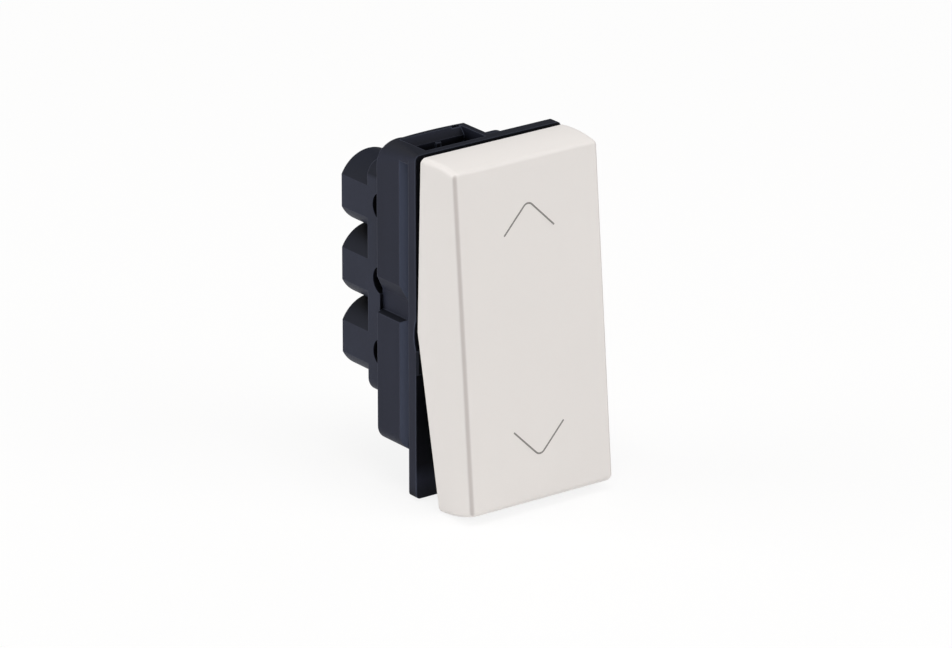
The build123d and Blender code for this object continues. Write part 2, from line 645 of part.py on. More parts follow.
# Contact lever with a domed contact at each end
def make_contact_lever():
    half = LEVER_ARM + LEVER_OVERHANG
    lever = box_between(-LEVER_WIDTH / 2, LEVER_WIDTH / 2, LEVER_BACK - LEVER_THICKNESS,
                        LEVER_BACK, -half, half)
    lever = fillet(edges_along(lever, Axis.Y), LEVER_CORNER)
    lever -= rod_x(FULCRUM_RADIUS + RUNNING_CLEARANCE, -LEVER_WIDTH, LEVER_WIDTH, 0, 0)
    for end in (-1, 1):
        lever -= rod_y(CONTACT_SHANK_RADIUS, -LEVER_THICKNESS - PAST, PAST, 0, end * LEVER_ARM)
    return on_lever(lever)


def make_lever_contact(end):
    crown = LEVER_BACK + CONTACT_CROWN
    head = rod_y(CONTACT_RADIUS, LEVER_BACK, crown, 0, 0)
    head &= Pos(0, crown - CONTACT_DOME_RADIUS, 0) * Sphere(CONTACT_DOME_RADIUS)
    rivet = head + rod_y(CONTACT_SHANK_RADIUS, LEVER_BACK - LEVER_THICKNESS, LEVER_BACK, 0, 0)
    return on_lever(Pos(0, 0, end * LEVER_ARM) * rivet)


def fixed_contact_front():
    """Where the crown of a closed lever contact stands, plus its closed gap."""
    swing = radians(LEVER_SWING)
    dome_centre = LEVER_BACK + CONTACT_CROWN - CONTACT_DOME_RADIUS
    reach = dome_centre * cos(swing) + LEVER_ARM * sin(swing) + CONTACT_DOME_RADIUS
    return LEVER_AXIS_Y + reach + CONTACT_CLOSED_GAP


def make_fixed_contact(end):
    front = fixed_contact_front()
    z = HINGE_Z + end * LEVER_ARM
    radius = CONTACT_RADIUS + FIXED_CONTACT_MARGIN
    head = rod_y(radius, front, STRIP_FRONT, MECHANISM_X, z)
    shank = rod_y(CONTACT_SHANK_RADIUS, STRIP_FRONT, BASE_FLOOR_Y, MECHANISM_X, z)
    return head + shank


# Terminal strips, cut from sheet, lying on the floor of the base
def strip(runs, holes):
    """Sheet strip made of straight runs in the front view."""
    sheet = None
    for x0, x1, z0, z1 in runs:
        piece = box_between(x0, x1, STRIP_FRONT, BASE_FLOOR_Y, z0, z1)
        sheet = piece if sheet is None else sheet + piece
    for x, z in holes:
        sheet -= rod_y(CONTACT_SHANK_RADIUS, STRIP_FRONT - PAST, BASE_FLOOR_Y + PAST, x, z)
    return sheet


def make_upper_terminal():
    z = TERMINAL_Z[0]
    pad_z = HINGE_Z + LEVER_ARM
    half = STRIP_WIDTH / 2
    right = MECHANISM_X + half
    runs = [(BLOCK_RIGHT, right, z - half, z + half),
            (right - STRIP_WIDTH, right, pad_z - PAD_HALF_HEIGHT, z + half)]
    return strip(runs, [(MECHANISM_X, pad_z)])


def make_lower_terminal():
    z = HINGE_Z - LEVER_ARM
    right = MECHANISM_X + STRIP_WIDTH / 2
    runs = [(BLOCK_RIGHT, right, z - PAD_HALF_HEIGHT, z + PAD_HALF_HEIGHT)]
    return strip(runs, [(MECHANISM_X, z)])


def make_common_terminal():
    top = TERMINAL_Z[1]
    half = STRIP_WIDTH / 2
    right = MECHANISM_X + LEVER_WIDTH / 2
    runs = [(BLOCK_RIGHT, BLOCK_RIGHT + STRIP_WIDTH, HINGE_Z - half, top),
            (BLOCK_RIGHT, right, HINGE_Z - half, HINGE_Z + half)]
    sheet = strip(runs, [])
    left = MECHANISM_X - LEVER_WIDTH / 2
    sheet += box_between(left, right, LEVER_AXIS_Y, STRIP_FRONT + WELD,
                         HINGE_Z - FULCRUM_RADIUS, HINGE_Z + FULCRUM_RADIUS)
    sheet += rod_x(FULCRUM_RADIUS, left, right, LEVER_AXIS_Y, HINGE_Z)
    return sheet


# Terminal blocks and their screws
def make_terminal_block(z):
    half = BLOCK_HEIGHT / 2
    block = box_between(BLOCK_LEFT, BLOCK_RIGHT, BLOCK_FRONT, BLOCK_BACK,
                        z - half, z + half)
    block = fillet(edges_along(block, Axis.Y), BLOCK_EDGE)
    block -= rod_y(WIRE_RADIUS, BLOCK_FRONT - PAST, BLOCK_BACK + PAST, TERMINAL_X, z)
    block -= rod_x(SCREW_RADIUS + RUNNING_CLEARANCE, BLOCK_LEFT - PAST, TERMINAL_X,
                   SCREW_AXIS_Y, z)
    return block


def make_terminal_screw(z):
    tip = TERMINAL_X - WIRE_RADIUS - SCREW_TIP_CLEARANCE
    screw = rod_x(SCREW_RADIUS, SCREW_HEAD_RIGHT, tip, SCREW_AXIS_Y, z)
    screw += rod_x(SCREW_HEAD_RADIUS, SCREW_HEAD_LEFT, SCREW_HEAD_RIGHT, SCREW_AXIS_Y, z)
    half = SCREW_SLOT_WIDTH / 2
    screw -= box_between(SCREW_HEAD_LEFT - PAST, SCREW_HEAD_LEFT + SCREW_SLOT_DEPTH,
                         SCREW_AXIS_Y - half, SCREW_AXIS_Y + half,
                         z - SCREW_HEAD_RADIUS - PAST, z + SCREW_HEAD_RADIUS + PAST)
    return screw


# Terminal base: tray for the blocks and strips, with the bosses behind
def make_terminal_base():
    width = 2 * BASE_HALF_WIDTH
    height = BASE_TOP - BASE_BOTTOM
    outline = Pos(0, (BASE_TOP + BASE_BOTTOM) / 2) * RectangleRounded(width, height, BASE_CORNER)
    base = front_plate(outline, HOUSING_DEPTH, BASE_BACK)
    rear_y = BASE_BACK + BOSS_LENGTH
    for z in TERMINAL_Z:
        boss = rod_y(BOSS_RADIUS, BASE_BACK - WELD, rear_y, BOSS_X, z)
        boss -= box_between(BOSS_X - 2 * BOSS_RADIUS, -BASE_HALF_WIDTH, BASE_BACK - PAST,
                            rear_y + PAST, z - BOSS_RADIUS, z + BOSS_RADIUS)
        rear = boss.faces().sort_by(Axis.Y)[-1]
        base += chamfer(rear.edges(), BOSS_EDGE)

    tray_left = BLOCK_RIGHT - TRAY_STEP
    base -= box_between(tray_left, BASE_HALF_WIDTH - BASE_RIM, HOUSING_DEPTH - PAST, BASE_FLOOR_Y,
                        BASE_BOTTOM + BASE_RIM, BASE_TOP - BASE_RIM)
    for z in TERMINAL_Z:
        half = BLOCK_HEIGHT / 2 + BLOCK_CLEARANCE
        base -= box_between(BLOCK_LEFT - BLOCK_CLEARANCE, BLOCK_RIGHT + BLOCK_CLEARANCE,
                            HOUSING_DEPTH - PAST, BLOCK_BACK + BLOCK_CLEARANCE,
                            z - half, z + half)
        base -= rod_x(ACCESS_RADIUS, -HOUSING_HALF_WIDTH - PAST, BLOCK_LEFT, ACCESS_Y, z)
        head_room = SCREW_HEAD_RADIUS + SCREW_HEAD_CLEARANCE
        base -= box_between(-BASE_HALF_WIDTH + BASE_RIM, BLOCK_LEFT, HOUSING_DEPTH - PAST,
                            SCREW_AXIS_Y + head_room, z - head_room, z + head_room)
        base -= rod_y(ENTRY_RADIUS, BLOCK_BACK - PAST, rear_y + PAST, TERMINAL_X, z)
        mouth = Cone(ENTRY_MOUTH_RADIUS, ENTRY_RADIUS, ENTRY_MOUTH_DEPTH)
        base -= Pos(TERMINAL_X, rear_y - ENTRY_MOUTH_DEPTH / 2, z) * Rot(90, 0, 0) * mouth

    # Shallow blank panel beside the bosses
    panel_x = BASE_HALF_WIDTH - PANEL_MARGIN - PANEL_WIDTH / 2
    panel = Pos(panel_x, (BASE_TOP + BASE_BOTTOM) / 2) * RectangleRounded(
        PANEL_WIDTH, height - 2 * PANEL_MARGIN, PANEL_CORNER)
    base -= front_plate(panel, BASE_BACK - PANEL_DEPTH, BASE_BACK + PAST)

    for x, z in peg_places():
        base += rod_y(PEG_POST_RADIUS, HOUSING_DEPTH, BASE_FLOOR_Y + WELD, x, z)
        base += rod_y(PEG_RADIUS, HOUSING_DEPTH - PEG_LENGTH, HOUSING_DEPTH + WELD, x, z)
    return base


parts = {
    "housing": make_housing(),
    "terminal_base": make_terminal_base(),
    "rocker_cap": make_rocker_cap(),
    "rocker_carrier": make_rocker_carrier(),
    "plunger": make_plunger(),
    "plunger_spring": make_plunger_spring(),
    "contact_lever": make_contact_lever(),
    "lever_contact_upper": make_lever_contact(1),
    "lever_contact_lower": make_lever_contact(-1),
    "common_terminal": make_common_terminal(),
    "upper_terminal": make_upper_terminal(),
    "lower_terminal": make_lower_terminal(),
    "fixed_contact_upper": make_fixed_contact(1),
    "fixed_contact_lower": make_fixed_contact(-1),
}
for name, z in zip(TERMINAL_NAMES, TERMINAL_Z):
    parts["terminal_block_" + name] = make_terminal_block(z)
    parts["terminal_screw_" + name] = make_terminal_screw(z)

os.makedirs("parts", exist_ok=True)
for name, shape in parts.items():
    export_step(shape, "parts/" + name + ".step")
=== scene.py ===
import json
import math

import bmesh
import bpy
from mathutils import Matrix, Vector


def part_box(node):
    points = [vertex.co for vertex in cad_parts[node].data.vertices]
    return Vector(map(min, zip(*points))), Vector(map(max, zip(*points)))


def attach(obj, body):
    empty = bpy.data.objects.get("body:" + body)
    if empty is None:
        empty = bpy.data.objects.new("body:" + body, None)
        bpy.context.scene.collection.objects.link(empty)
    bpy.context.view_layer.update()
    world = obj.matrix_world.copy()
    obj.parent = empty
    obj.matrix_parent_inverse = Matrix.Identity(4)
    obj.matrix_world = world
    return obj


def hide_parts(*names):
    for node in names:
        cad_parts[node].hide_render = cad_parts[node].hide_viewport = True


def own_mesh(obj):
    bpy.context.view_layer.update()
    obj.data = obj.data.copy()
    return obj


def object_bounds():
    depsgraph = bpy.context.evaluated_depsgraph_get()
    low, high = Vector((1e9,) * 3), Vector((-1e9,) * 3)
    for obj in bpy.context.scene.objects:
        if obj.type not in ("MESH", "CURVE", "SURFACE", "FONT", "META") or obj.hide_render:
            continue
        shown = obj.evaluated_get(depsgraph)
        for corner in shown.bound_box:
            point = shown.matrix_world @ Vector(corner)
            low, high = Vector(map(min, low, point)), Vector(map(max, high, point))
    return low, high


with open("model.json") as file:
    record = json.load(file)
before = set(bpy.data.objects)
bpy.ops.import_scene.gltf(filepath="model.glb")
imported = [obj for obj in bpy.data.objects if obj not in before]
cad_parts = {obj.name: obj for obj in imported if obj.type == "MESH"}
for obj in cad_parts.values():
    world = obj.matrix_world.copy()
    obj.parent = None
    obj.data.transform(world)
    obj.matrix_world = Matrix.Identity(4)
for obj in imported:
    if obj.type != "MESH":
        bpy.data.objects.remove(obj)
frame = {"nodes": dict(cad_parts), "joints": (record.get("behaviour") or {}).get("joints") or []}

# One-module rocker switch with an up and a down chevron on its white cap.
# Metres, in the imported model's frame: +X right, +Y back into the wall, +Z up.
MM = 0.001
QUARTER_TURN = math.radians(90)

# Camera, matched to the photograph
CAMERA_PLACE = Vector((-508.10, -678.41, 312.48)) * MM
CAMERA_AIM = Vector((-0.937, -0.199, -1.940)) * MM
CAMERA_LENS = 275.75
CAMERA_SENSOR = 36.0
CAMERA_NEAR = 0.01

# Studio
FLOOR_RADIUS = 4.0
FLOOR_SIDES = 96
FLOOR_GAP = 0.05 * MM
FLOOR_COLOUR = (0.86, 0.855, 0.85, 1)
FLOOR_PALE = (0.87, 0.865, 0.86, 1)
FLOOR_RANGE = (0.3, 0.7)
FLOOR_ROUGHNESS = 0.9
FLOOR_SPECULAR = 0.1
FLOOR_GLOW = 0.85
WORLD_COLOUR = (0.93, 0.96, 1.0, 1)
WORLD_STRENGTH = 0.15
LIGHT_COLOUR = (1.0, 0.985, 0.965)
# name, azimuth and elevation in degrees seen from the object, distance, size, power
LIGHTS = (
    ("light_front", 26.0, 34.0, 1.5, 0.9, 7.9),
    ("light_left", -122.0, 28.0, 1.4, 1.0, 9.9),
    ("light_top", -20.0, 74.0, 1.3, 0.8, 10.4),
    ("light_right", 112.0, 20.0, 1.6, 0.9, 2.5),
    ("light_back", 178.0, 24.0, 1.7, 0.9, 2.0),
)

# Noises of the finishes: features per metre, detail, roughness
DRIFT_NOISE = (90.0, 3.0, 0.5)
SPECKLE_NOISE = (3600.0, 2.0, 0.6)
FLOW_NOISE = (420.0, 4.0, 0.55)
FINE_GRAIN_NOISE = (3600.0, 3.0, 0.65)
COARSE_GRAIN_NOISE = (900.0, 2.0, 0.5)
BRUSH_NOISE = (2600.0, 3.0, 0.6)
STAIN_NOISE = (520.0, 4.0, 0.6)
INK_NOISE = (4200.0, 3.0, 0.6)
FLOOR_NOISE = (3.0, 2.0, 0.5)
NOISE_MIDDLE = 0.5

# Tone of moulded plastic: a mix of drift, flow and speckle, from its low to its high colour
TONE_DRIFT = 0.45
TONE_FLOW = 0.20
TONE_SPECKLE = 0.35
TONE_RANGE = (0.35, 0.65)
FLOW_STRETCH = (1.0, 1.0, 0.18)

# What drift, speckle and edges add to the roughness of moulded plastic
DRIFT_ROUGHNESS = 0.08
SPECKLE_ROUGHNESS = 0.10
EDGE_POLISH = 0.07

# Grain and edges of moulded plastic; the edges are rounded in the finish
FINE_GRAIN = 0.7
COARSE_GRAIN = 0.3
GRAIN_HEIGHT = 0.012 * MM
EDGE_RADIUS = 0.16 * MM
EDGE_SAMPLES = 8
EDGE_LINE_RADIUS = 0.22 * MM
EDGE_LINE_SAMPLES = 6
EDGE_LINE_RANGE = (0.004, 0.10)
# Share of the painted highlight in the colour of the edge lines
EDGE_HIGHLIGHT_SHARE = 0.6

# Zones of painted shade and light on the mouldings. A range runs from where a zone starts to
# where it is full
# Painted shade in holes, gaps and inner corners, from how open each point is
RECESS_SHADE_REACH = 5.0 * MM
RECESS_SHADE_SAMPLES = 8
RECESS_SHADE_RANGE = (0.26, 0.56)
RECESS_SHADE_SHARE = 0.95
# Painted shade on the housing's faces that look up
TOP_PAINTED_SHADE_RANGE = (0.35, 0.85)
TOP_PAINTED_SHADE_SHARE = 0.80
# Painted shade on the base's faces that look up
BASE_TOP_PAINTED_SHADE_RANGE = (0.04, 0.22)
BASE_TOP_PAINTED_SHADE_SHARE = 0.75
# Painted light on the sloped walls of the grooves
GROOVE_SOFTNESS = 0.35 * MM
GROOVE_SAMPLES = 8
SLOPE_LIGHT_ACROSS_RANGE = (0.25, 0.60)
SLOPE_LIGHT_FORWARD_RANGE = (0.10, 0.60)
SLOPE_LIGHT_SHARE = 0.90
# Painted shade on the cap's upright front edges
CORNER_SHADE_RANGE = (0.45, 0.95)

# Painted shadow of the cap on the front of the housing's flange, darker behind the cap than at
# its foot
CAP_SHADOW_RANGE = (-1.42 * MM, -1.48 * MM)
CAP_SHADOW_FOOT_RANGE = (-20.0 * MM, -18.0 * MM)
CAP_SHADOW_SHARE = 0.85

# Painted shade deep in the lamp pocket in the housing's head; its box is widened by a little so
# that its own walls lie inside
POCKET_LEFT = -8.90 * MM
POCKET_RIGHT = 0.36 * MM
POCKET_FRONT = -0.60 * MM
POCKET_REAR = 4.80 * MM
POCKET_RIM = 22.40 * MM
POCKET_FULL_SHADE = 20.90 * MM
POCKET_FLOOR = 13.90 * MM
POCKET_BLEND = 0.05 * MM
POCKET_SHADE_SHARE = 0.95

# Metal: brush lines and tarnish
BRUSH_ROUGHNESS = 0.22
BRUSH_STRENGTH = 0.25
BRUSH_HEIGHT = 0.006 * MM
TARNISH = 0.35
TARNISH_RANGE = (0.45, 0.75)
TARNISH_ROUGHNESS = 0.25

# Ink of the chevrons
INK = (0.20, 0.19, 0.18, 1)
INK_PALE = (0.26, 0.245, 0.235, 1)
INK_RANGE = (0.30, 0.70)
INK_ROUGHNESS = 0.50
INK_DRIFT = 0.15
INK_STRENGTH = 0.2
INK_HEIGHT = 0.004 * MM

# Colours of the mouldings
DARK = (0.0200, 0.0225, 0.0375)
# Painted shade on the housing's top faces
DARK_TOP_PAINTED_SHADE = (0.0095, 0.0105, 0.0150)
# Painted shade in recesses, on the flange's front behind the cap and in the lamp pocket
DARK_PAINTED_SHADE = (0.0022, 0.0023, 0.0034)
# Painted light on the groove slopes
DARK_SLOPE_PAINTED_LIGHT = (0.0760, 0.0890, 0.1360)
# Painted highlight on the edges of the dark mouldings
DARK_EDGE_HIGHLIGHT = (0.062, 0.070, 0.102)
BASE = (0.0270, 0.0305, 0.0480)
# Painted shade on the base's top faces
BASE_TOP_PAINTED_SHADE = (0.0080, 0.0095, 0.0150)
WHITE = (0.785, 0.755, 0.735)
# Painted shade on the cap's upright front edges
WHITE_CORNER_PAINTED_SHADE = (0.600, 0.560, 0.545)

# Thread on the clamping screws, on the shank between head and block
SCREW_LEVELS = ("upper", "middle", "lower")
SCREW_HEAD_HEIGHT = 0.75 * MM
THREAD_STEP = 0.4 * MM
THREAD_COUNT = 3
THREAD_RADIUS = 1.13 * MM
THREAD_RIDGE = 0.035 * MM
THREAD_START = 0.25 * MM

# Ejector marks in the blank panel on the base's back
MARK_RADIUS = 0.9 * MM
MARK_RIDGE = 0.06 * MM
MARK_COUNT = 4
MARK_STEP = 7.0 * MM
MARK_X = 4.95 * MM
MARK_Y = 8.80 * MM
MARK_LOWEST = -6.8 * MM

# Round wire and rings: sides round their ridge, points along a ring, points along a coil's turn
RING_SIDES = 8
RING_POINTS = 32
COIL_POINTS = 24

# Spring behind the plunger, in the rocker's own frame: X across, Y back, from the hinge
SPRING_X = 4.014 * MM
SPRING_START = -2.89 * MM
SPRING_HEIGHT = 7.34 * MM
SPRING_RADIUS = 0.68 * MM
SPRING_WIRE = 0.15 * MM
SPRING_TURNS = 6.0

# Chevrons on the cap's face, in the rocker's own frame: X across, Z up, from the hinge
CAP_FACE_REACH = 7.84 * MM
CHEVRON_X = -0.13 * MM
CHEVRON_HALF_SPAN = 3.77 * MM
CHEVRON_SLOPE_DEGREES = 45.0
CHEVRON_BEND = 0.85 * MM
CHEVRON_BEND_STEPS = 10
CHEVRON_END_STEPS = 6
CHEVRON_WIDTH = 0.22 * MM
CHEVRON_PROUD = 0.015 * MM
CHEVRON_SUNK = 0.03 * MM
# name, height of its foot from the hinge, 1 for up and -1 for down
CHEVRONS = (("chevron_up", 12.67 * MM, 1), ("chevron_down", 12.55 * MM, -1))

# Sockets of the Mix node for colours
MIX_FACTOR = 0
MIX_FIRST = 6
MIX_SECOND = 7
MIX_RESULT = 2

cad_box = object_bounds()


# Shader maths
class Signal:
    """A shader socket. Sums on it add Math nodes; every other node comes from node()."""

    def __init__(self, socket):
        self.socket = socket

    def node(self, kind, settings=None, inputs=None, output=0):
        """Add a node beside this socket: settings first, then its inputs' values or links."""
        tree = self.socket.id_data
        added = tree.nodes.new(kind)
        for name, value in (settings or {}).items():
            setattr(added, name, value)
        for key, value in (inputs or {}).items():
            plug(tree, added.inputs[key], value)
        return Signal(added.outputs[output])

    def maths(self, operation, *values):
        inputs = dict(enumerate(values))
        return self.node("ShaderNodeMath", {"operation": operation}, inputs)

    def __add__(self, other):
        return self.maths("ADD", self, other)

    def __radd__(self, other):
        return self.maths("ADD", other, self)

    def __sub__(self, other):
        return self.maths("SUBTRACT", self, other)

    def __rsub__(self, other):
        return self.maths("SUBTRACT", other, self)

    def __mul__(self, other):
        return self.maths("MULTIPLY", self, other)

    def __rmul__(self, other):
        return self.maths("MULTIPLY", other, self)

    def magnitude(self):
        """This number without its sign."""
        return self.maths("ABSOLUTE", self)

    def clipped(self):
        """The same number, held between 0 and 1."""
        settings = {"operation": "ADD", "use_clamp": True}
        return self.node("ShaderNodeMath", settings, {0: self, 1: 0.0})

    def span(self, low, high):
        """From 0 where this is low to 1 where it is high."""
        inputs = {"Value": self, "From Min": low, "From Max": high}
        return self.node("ShaderNodeMapRange", {"clamp": True}, inputs)

    def blend(self, first, second):
        """First colour where this is 0, second where it is 1."""
        inputs = {MIX_FACTOR: self, MIX_FIRST: first, MIX_SECOND: second}
        return self.node("ShaderNodeMix", {"data_type": "RGBA"}, inputs, MIX_RESULT)

    def noise(self, scale, detail, roughness):
        """Noise on this vector, between 0 and 1."""
        inputs = {"Vector": self, "Scale": scale, "Detail": detail, "Roughness": roughness}
        return self.node("ShaderNodeTexNoise", None, inputs)

    def part(self, axis):
        """One axis of this vector."""
        return self.node("ShaderNodeSeparateXYZ", None, {"Vector": self}, axis)

    def stretched(self, scale):
        """This vector, scaled by axis."""
        return self.node("ShaderNodeMapping", None, {"Vector": self, "Scale": scale})

    def true_normal(self):
        """Direction of the surface, without bumps or rounded edges."""
        return self.node("ShaderNodeNewGeometry", None, None, "Normal")

    def soft_normal(self, samples, radius):
        """Direction of the surface, with its edges rounded."""
        return self.node("ShaderNodeBevel", {"samples": samples}, {"Radius": radius})


def plug(tree, socket, value):
    """Link a signal to a socket, or set the socket's own value."""
    if isinstance(value, Signal):
        tree.links.new(value.socket, socket)
    else:
        socket.default_value = value


def new_finish(name):
    """Empty node material with one Principled shader; returns it, the shader and coordinates."""
    finish = bpy.data.materials.new(name)
    finish.use_nodes = True
    tree = finish.node_tree
    tree.nodes.clear()
    output = tree.nodes.new("ShaderNodeOutputMaterial")
    shader = tree.nodes.new("ShaderNodeBsdfPrincipled")
    tree.links.new(shader.outputs["BSDF"], output.inputs["Surface"])
    coordinates = Signal(tree.nodes.new("ShaderNodeTexCoord").outputs["Object"])
    return finish, shader, coordinates


# Zones and finishes of moulded plastic
def edge_mask(place):
    """1 on the outer and inner edges of a piece, 0 on its flats."""
    rounded = place.soft_normal(EDGE_LINE_SAMPLES, EDGE_LINE_RADIUS)
    facing = place.node("ShaderNodeVectorMath", {"operation": "DOT_PRODUCT"},
                        {0: rounded, 1: place.true_normal()}, "Value")
    return (1.0 - facing).span(*EDGE_LINE_RANGE)


def recess_painted_shade_mask(place):
    """Painted shade: 1 deep in holes, gaps and inner corners, where shade falls, 0 on open faces.
    """
    openness = place.node("ShaderNodeAmbientOcclusion", {"samples": RECESS_SHADE_SAMPLES},
                          {"Distance": RECESS_SHADE_REACH}, "AO")
    return (1.0 - openness).span(*RECESS_SHADE_RANGE)


def slope_painted_light_mask(place):
    """Painted light: 1 on the sloped walls of the grooves, which face sideways and forward, where
    light falls on them.
    """
    rounded = place.soft_normal(GROOVE_SAMPLES, GROOVE_SOFTNESS)
    sideways = rounded.part("X").magnitude().span(*SLOPE_LIGHT_ACROSS_RANGE)
    forward = (0.0 - rounded.part("Y")).span(*SLOPE_LIGHT_FORWARD_RANGE)
    return sideways * forward


def cap_shadow_mask(place):
    """Painted shadow of the cap: 1 on the flange's front behind the cap, 0 at its foot and on
    everything farther back.
    """
    return place.part("Y").span(*CAP_SHADOW_RANGE) * place.part("Z").span(*CAP_SHADOW_FOOT_RANGE)


def pocket_shade_mask(place):
    """Painted shade: 1 deep in the lamp pocket, 0 at its rim and everywhere outside it."""
    across, back, up = place.part("X"), place.part("Y"), place.part("Z")
    inside = across.span(POCKET_LEFT - POCKET_BLEND, POCKET_LEFT)
    inside = inside * across.span(POCKET_RIGHT + POCKET_BLEND, POCKET_RIGHT)
    inside = inside * back.span(POCKET_FRONT - POCKET_BLEND, POCKET_FRONT)
    inside = inside * back.span(POCKET_REAR + POCKET_BLEND, POCKET_REAR)
    inside = inside * up.span(POCKET_FLOOR - POCKET_BLEND, POCKET_FLOOR)
    return inside * up.span(POCKET_RIM, POCKET_FULL_SHADE)


def housing_painted_light_and_shade(place):
    """Painted shade makes it darker on top, in recesses, on the flange's front and in the pocket;
    painted light makes it paler on the slopes of the grooves.
    """
    # painted shade: faces that look up are darker
    shaded_top = place.true_normal().part("Z").span(*TOP_PAINTED_SHADE_RANGE)
    return [(TOP_PAINTED_SHADE_SHARE * shaded_top, DARK_TOP_PAINTED_SHADE),
            (RECESS_SHADE_SHARE * recess_painted_shade_mask(place), DARK_PAINTED_SHADE),
            (SLOPE_LIGHT_SHARE * slope_painted_light_mask(place), DARK_SLOPE_PAINTED_LIGHT),
            (CAP_SHADOW_SHARE * cap_shadow_mask(place), DARK_PAINTED_SHADE),
            (POCKET_SHADE_SHARE * pocket_shade_mask(place), DARK_PAINTED_SHADE)]


def base_painted_shade(place):
    """Painted shade: the terminal base is darker on top of its bosses and in its holes."""
    shaded_top = place.true_normal().part("Z").span(*BASE_TOP_PAINTED_SHADE_RANGE)
    return [(BASE_TOP_PAINTED_SHADE_SHARE * shaded_top, BASE_TOP_PAINTED_SHADE),
            (RECESS_SHADE_SHARE * recess_painted_shade_mask(place), DARK_PAINTED_SHADE)]


def cap_painted_shade(place):
    """Painted shade: the cap's two upright front edges carry a thin greyer line, where the
    rounded edge gets less light.
    """
    normal = place.true_normal()
    corner = (2.0 * normal.part("X") * normal.part("Y")).magnitude()
    return [(corner.span(*CORNER_SHADE_RANGE), WHITE_CORNER_PAINTED_SHADE)]


def moulding(name, colour, edge_highlight_colour, roughness, grain, specular=0.5, drift_share=0.06,
             zones=None):
    """Injection-moulded plastic: eroded grain, slow drift of tone, polished edges with a painted
    highlight in their colour, and painted shade and light by zone.
    """
    finish, shader, place = new_finish(name)
    tree = finish.node_tree
    drift = place.noise(*DRIFT_NOISE)
    speckle = place.noise(*SPECKLE_NOISE)
    flow = place.stretched(FLOW_STRETCH).noise(*FLOW_NOISE)
    tone = (TONE_DRIFT * drift + TONE_FLOW * flow + TONE_SPECKLE * speckle).span(*TONE_RANGE)
    low = tuple(channel * (1 - drift_share) for channel in colour) + (1,)
    high = tuple(channel * (1 + drift_share) for channel in colour) + (1,)
    body = tone.blend(low, high)
    # painted shade and light, zone by zone
    if zones:
        for mask, zone_colour in zones(place):
            body = mask.blend(body, zone_colour + (1,))
    edge = edge_mask(place)
    # painted highlight along the edges
    body = (EDGE_HIGHLIGHT_SHARE * edge).blend(body, edge_highlight_colour + (1,))
    plug(tree, shader.inputs["Base Color"], body)
    rough = roughness + DRIFT_ROUGHNESS * (drift - NOISE_MIDDLE)
    rough = rough + SPECKLE_ROUGHNESS * (speckle - NOISE_MIDDLE)
    rough = rough - EDGE_POLISH * edge
    plug(tree, shader.inputs["Roughness"], rough.clipped())
    fine = place.noise(*FINE_GRAIN_NOISE)
    coarse = place.noise(*COARSE_GRAIN_NOISE)
    height = FINE_GRAIN * fine + COARSE_GRAIN * coarse
    soft_edge = place.soft_normal(EDGE_SAMPLES, EDGE_RADIUS)
    bump = place.node("ShaderNodeBump", None, {"Strength": grain, "Distance": GRAIN_HEIGHT,
                                               "Height": height, "Normal": soft_edge})
    plug(tree, shader.inputs["Normal"], bump)
    shader.inputs["Specular IOR Level"].default_value = specular
    return finish


# Other finishes
def metal(name, colour, dull_colour, roughness, stretch):
    """Drawn, stamped or turned metal: brush lines and a little tarnish."""
    finish, shader, place = new_finish(name)
    tree = finish.node_tree
    lines = place.stretched(stretch).noise(*BRUSH_NOISE)
    stain = place.noise(*STAIN_NOISE)
    dull = TARNISH * stain.span(*TARNISH_RANGE)
    plug(tree, shader.inputs["Base Color"], dull.blend(colour + (1,), dull_colour + (1,)))
    rough = roughness + BRUSH_ROUGHNESS * (lines - NOISE_MIDDLE) + TARNISH_ROUGHNESS * dull
    plug(tree, shader.inputs["Roughness"], rough.clipped())
    bump = place.node("ShaderNodeBump", None, {"Strength": BRUSH_STRENGTH,
                                               "Distance": BRUSH_HEIGHT, "Height": lines})
    plug(tree, shader.inputs["Normal"], bump)
    shader.inputs["Metallic"].default_value = 1.0
    return finish


def marking_finish():
    """Grey printed line: a thin ink film with a slightly uneven tone."""
    finish, shader, place = new_finish("finish_marking")
    tree = finish.node_tree
    film = place.noise(*INK_NOISE)
    plug(tree, shader.inputs["Base Color"], film.span(*INK_RANGE).blend(INK, INK_PALE))
    rough = INK_ROUGHNESS + INK_DRIFT * (film - NOISE_MIDDLE)
    plug(tree, shader.inputs["Roughness"], rough.clipped())
    bump = place.node("ShaderNodeBump", None, {"Strength": INK_STRENGTH,
                                               "Distance": INK_HEIGHT, "Height": film})
    plug(tree, shader.inputs["Normal"], bump)
    return finish


